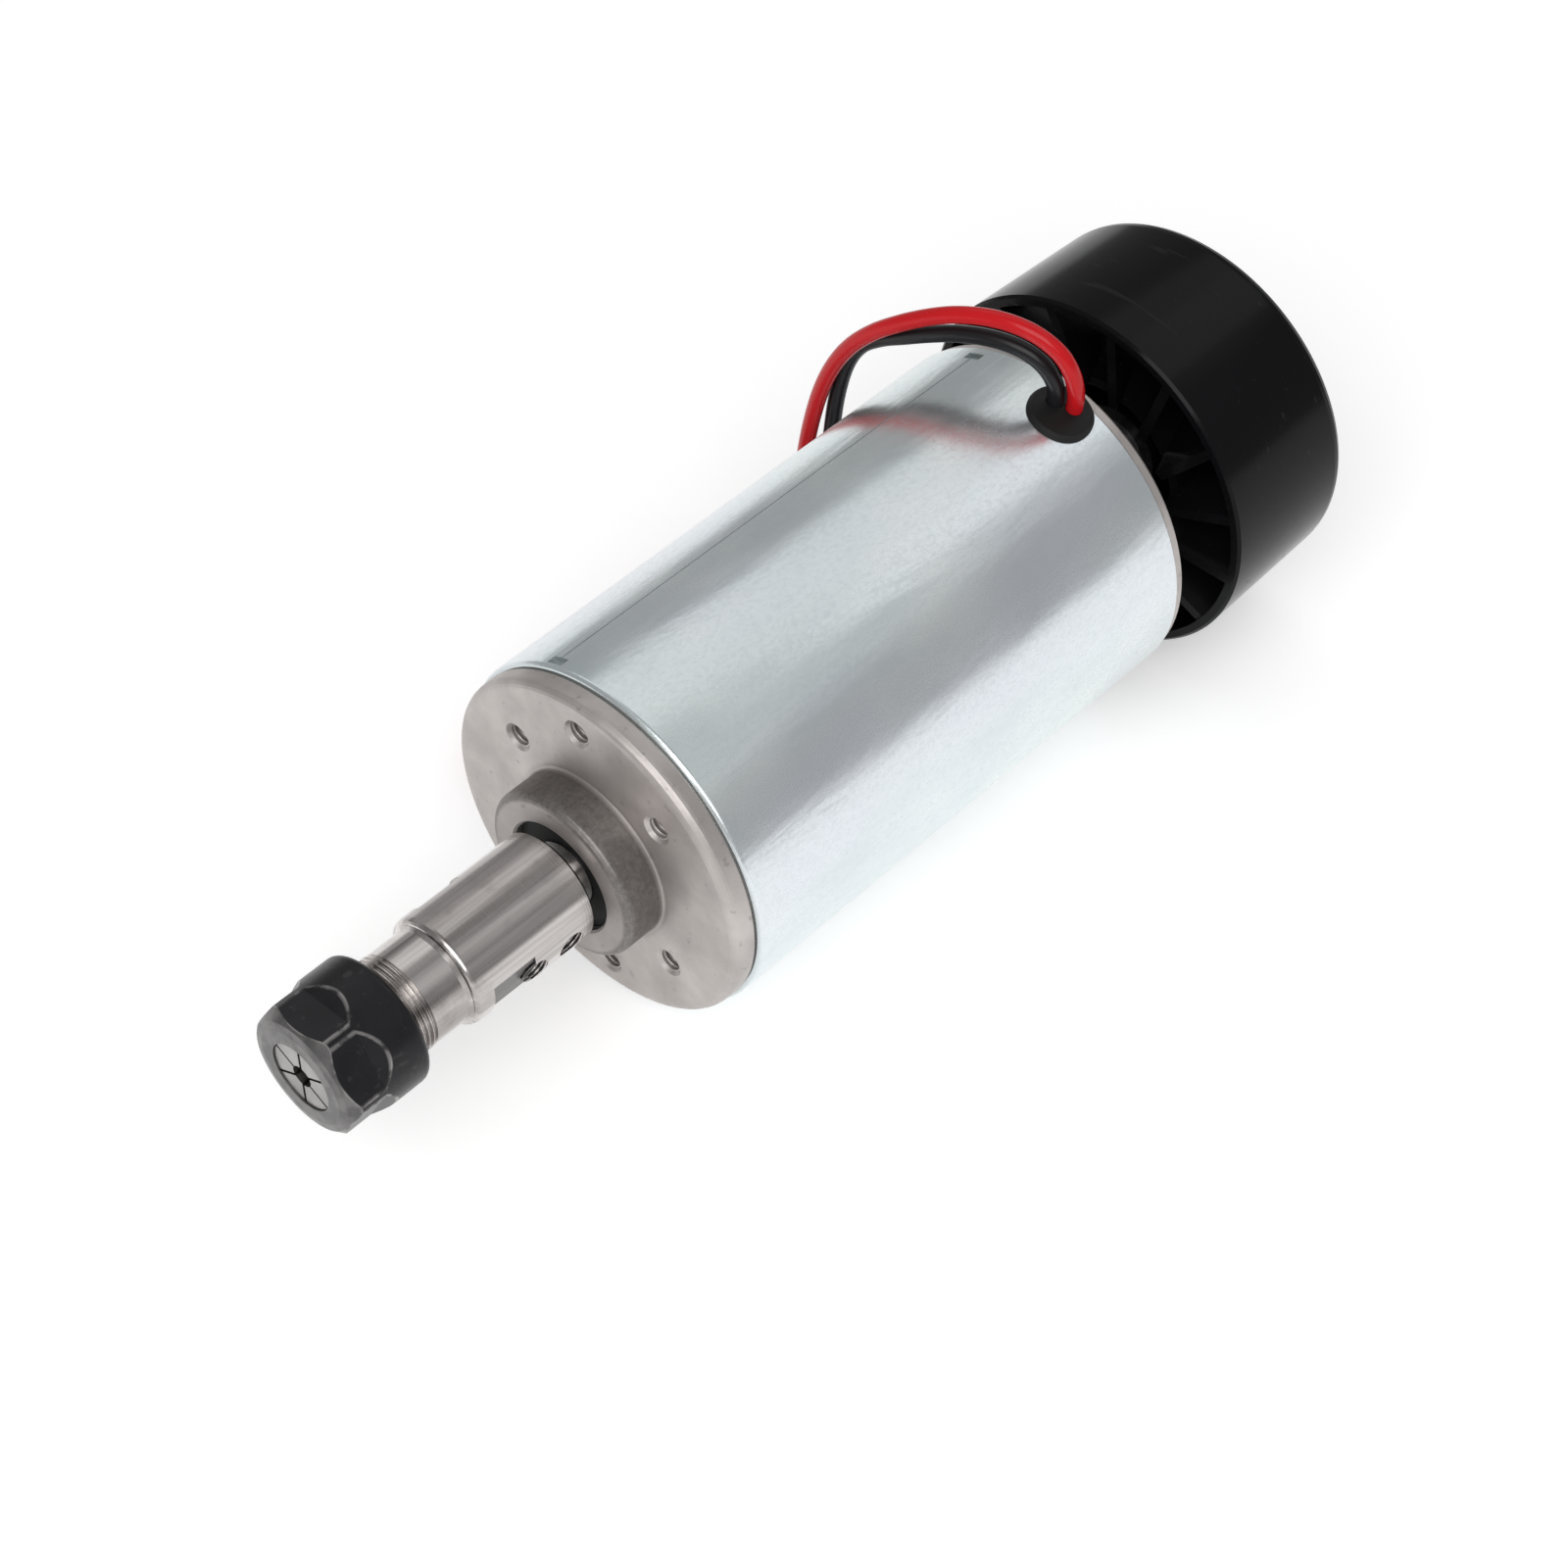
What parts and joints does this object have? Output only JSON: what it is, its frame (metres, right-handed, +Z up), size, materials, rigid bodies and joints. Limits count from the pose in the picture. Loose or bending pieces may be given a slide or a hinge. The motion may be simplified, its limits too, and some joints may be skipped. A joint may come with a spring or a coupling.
{
  "type": "spindle motor",
  "caption": "Air-cooled brushed spindle motor: round steel can, alloy end caps, rear cooling fan, and a shaft chuck with spring collet and coned clamping nut; two free leads.",
  "frame": {"origin": "on the spindle axis, in the plane of the front cap's mounting face", "axes": "+X along the spindle axis from the chuck toward the fan, +Z up, +Y to the side where the spare lead lies"},
  "size_m": [0.1722, 0.0734, 0.0671],
  "materials": {
    "zinc_steel": "bright zinc plate, soft reflections",
    "cast_alloy": "satin die-cast alloy",
    "rubber_black": "moulded rubber",
    "ferrite": "sintered ferrite",
    "bearing_steel": "ground bearing steel",
    "phenolic": "phenolic board",
    "brass_part": "plain brass",
    "carbon": "copper-graphite brush",
    "spring_steel": "drawn spring steel",
    "ground_steel": "ground and polished steel",
    "lamination": "stacked electrical sheet",
    "insulator": "fibre insulation",
    "copper_wire": "enamelled copper",
    "copper_bar": "turned copper",
    "fan_plastic": "glossy moulded plastic",
    "black_oxide": "black oxide on turned steel",
    "wire_red": "smooth insulation",
    "wire_black": "smooth insulation",
    "tinned": "tinned copper strands",
    "tie_plastic": "nylon strap"
  },
  "bodies": {
    "motor_body": {"motor_can": "zinc_steel", "front_cap": "cast_alloy", "rear_cap": "cast_alloy", "grommet": "rubber_black", "magnet_near": "ferrite", "magnet_far": "ferrite", "magnet_clip_top": "spring_steel", "magnet_clip_bottom": "spring_steel", "front_outer_ring": "bearing_steel", "front_seal": "rubber_black", "rear_outer_ring": "bearing_steel", "preload_washer": "spring_steel", "brush_card": "phenolic", "card_screw_near": "zinc_steel", "card_screw_far": "zinc_steel", "brush_guide_top": "brass_part", "brush_guide_bottom": "brass_part", "brush_spring_top": "spring_steel", "brush_spring_bottom": "spring_steel", "lead_red": "wire_red", "lead_black": "wire_black", "hank_red": "wire_red", "hank_black": "wire_black", "bare_end_red": "tinned", "bare_end_black": "tinned", "tie_red": "tie_plastic", "tie_black": "tie_plastic"},
    "rotor": {"rotor_shaft": "ground_steel", "armature_core": "lamination", "slot_insulator_front": "insulator", "slot_insulator_rear": "insulator", "armature_winding": "copper_wire", "commutator_base": "phenolic", "commutator_bars": "copper_bar", "shaft_collar": "brass_part", "front_inner_ring": "bearing_steel", "rear_inner_ring": "bearing_steel", "fan": "fan_plastic", "fan_bush": "black_oxide", "chuck_holder": "ground_steel", "set_screw_rear": "black_oxide", "set_screw_front": "black_oxide"},
    "front_cage": {"front_balls": "bearing_steel"},
    "rear_cage": {"rear_balls": "bearing_steel"},
    "chuck_collet": {"collet": "ground_steel"},
    "chuck_nut": {"collet_nut": "black_oxide"},
    "top_brush": {"brush_top": "carbon"},
    "bottom_brush": {"brush_bottom": "carbon"}
  },
  "joints": [
    {"name": "spindle_turn", "type": "hinge", "parent": "motor_body", "child": "rotor", "pos_m": [0.02, 0, 0], "axis": [1, 0, 0], "continuous": true},
    {"name": "front_cage_turn", "type": "hinge", "parent": "motor_body", "child": "front_cage", "pos_m": [-0.002, 0, 0], "axis": [1, 0, 0], "continuous": true},
    {"name": "rear_cage_turn", "type": "hinge", "parent": "motor_body", "child": "rear_cage", "pos_m": [0.0835, 0, 0], "axis": [1, 0, 0], "continuous": true},
    {"name": "collet_slide", "type": "slide", "parent": "rotor", "child": "chuck_collet", "axis": [-1, 0, 0], "range_m": [0, 0.0015]},
    {"name": "nut_turn", "type": "hinge", "parent": "chuck_collet", "child": "chuck_nut", "pos_m": [-0.043, 0, 0], "axis": [-1, 0, 0], "range_deg": [0, 720]},
    {"name": "top_brush_slide", "type": "slide", "parent": "motor_body", "child": "top_brush", "axis": [0, 0, 1], "range_m": [0, 0.0025], "stiffness_N_per_m": 150, "springref_m": -0.004, "deforming": ["brush_spring_top"]},
    {"name": "bottom_brush_slide", "type": "slide", "parent": "motor_body", "child": "bottom_brush", "axis": [0, 0, -1], "range_m": [0, 0.0025], "stiffness_N_per_m": 150, "springref_m": -0.004, "deforming": ["brush_spring_bottom"]}
  ],
  "couplings": [
    {"joint": "front_cage_turn", "follows": "spindle_turn", "ratio": 0.354},
    {"joint": "rear_cage_turn", "follows": "spindle_turn", "ratio": 0.382},
    {"joint": "collet_slide", "follows": "nut_turn", "m_per_rad": 0.00011937}
  ]
}
